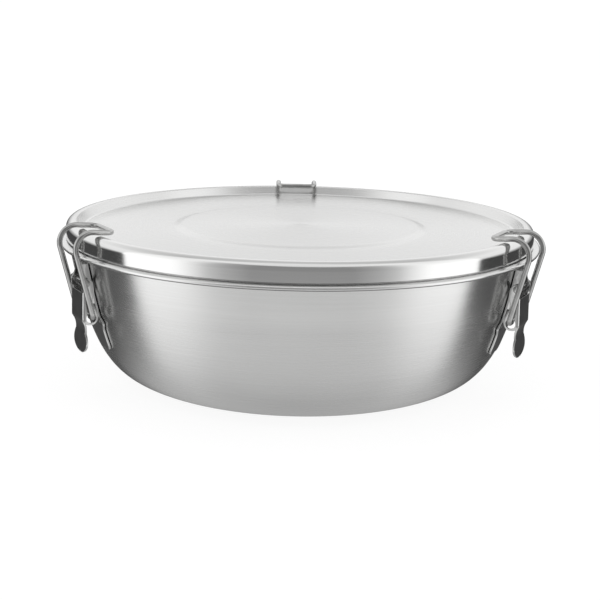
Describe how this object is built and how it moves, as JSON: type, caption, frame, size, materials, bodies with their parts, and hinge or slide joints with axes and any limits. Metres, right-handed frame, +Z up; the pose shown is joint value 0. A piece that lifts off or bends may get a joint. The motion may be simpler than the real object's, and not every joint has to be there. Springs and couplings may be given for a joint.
{
  "type": "lunch box",
  "caption": "Round steel lunch box: a deep curved bowl with a flat-panelled lift-off lid, held shut by wire bails on over-centre levers around its rim.",
  "frame": {"origin": "centre of the flat base, on the bowl's axis", "axes": "+Z up along the bowl's axis; +Y towards the back latch; +X to the right as seen from the front"},
  "size_m": [0.2138, 0.2174, 0.0726],
  "materials": {
    "bowl_steel": "satin, fine horizontal brushing",
    "lid_steel": "satin, fine concentric brushing",
    "latch_steel": "polished stainless wire and sheet",
    "silicone": "matte translucent silicone"
  },
  "bodies": {
    "bowl": {"bowl": "bowl_steel", "back_bracket": "latch_steel", "back_hinge_pin": "latch_steel", "front_left_bracket": "latch_steel", "front_left_hinge_pin": "latch_steel", "front_right_bracket": "latch_steel", "front_right_hinge_pin": "latch_steel"},
    "lid": {"lid": "lid_steel", "seal": "silicone"},
    "back_lever": {"back_lever": "latch_steel"},
    "back_bail": {"back_bail": "latch_steel"},
    "front_left_lever": {"front_left_lever": "latch_steel"},
    "front_left_bail": {"front_left_bail": "latch_steel"},
    "front_right_lever": {"front_right_lever": "latch_steel"},
    "front_right_bail": {"front_right_bail": "latch_steel"}
  },
  "joints": [
    {"name": "back_lever_hinge", "type": "hinge", "parent": "bowl", "child": "back_lever", "pos_m": [0, 0.1045, 0.0505], "axis": [1, 0, 0], "range_deg": [0, 150]},
    {"name": "back_bail_hinge", "type": "hinge", "parent": "back_lever", "child": "back_bail", "pos_m": [0, 0.1028, 0.0363], "axis": [-1, 0, 0], "range_deg": [0, 330]},
    {"name": "front_left_lever_hinge", "type": "hinge", "parent": "bowl", "child": "front_left_lever", "pos_m": [-0.0905, -0.05225, 0.0505], "axis": [-0.5, 0.866, 0], "range_deg": [0, 150]},
    {"name": "front_left_bail_hinge", "type": "hinge", "parent": "front_left_lever", "child": "front_left_bail", "pos_m": [-0.08903, -0.0514, 0.0363], "axis": [0.5, -0.866, 0], "range_deg": [0, 330]},
    {"name": "front_right_lever_hinge", "type": "hinge", "parent": "bowl", "child": "front_right_lever", "pos_m": [0.0905, -0.05225, 0.0505], "axis": [-0.5, -0.866, 0], "range_deg": [0, 150]},
    {"name": "front_right_bail_hinge", "type": "hinge", "parent": "front_right_lever", "child": "front_right_bail", "pos_m": [0.08903, -0.0514, 0.0363], "axis": [0.5, 0.866, 0], "range_deg": [0, 330]},
    {"name": "lid_lift", "type": "slide", "parent": "bowl", "child": "lid", "axis": [0, 0, 1], "range_m": [0, 0.008]}
  ],
  "couplings": [
    {"joint": "back_lever_hinge", "follows": "lid_lift", "rad_per_m": 327.24},
    {"joint": "front_left_lever_hinge", "follows": "lid_lift", "rad_per_m": 327.24},
    {"joint": "front_right_lever_hinge", "follows": "lid_lift", "rad_per_m": 327.24},
    {"joint": "back_bail_hinge", "follows": "lid_lift", "rad_per_m": 719.9},
    {"joint": "front_left_bail_hinge", "follows": "lid_lift", "rad_per_m": 719.9},
    {"joint": "front_right_bail_hinge", "follows": "lid_lift", "rad_per_m": 719.9}
  ]
}
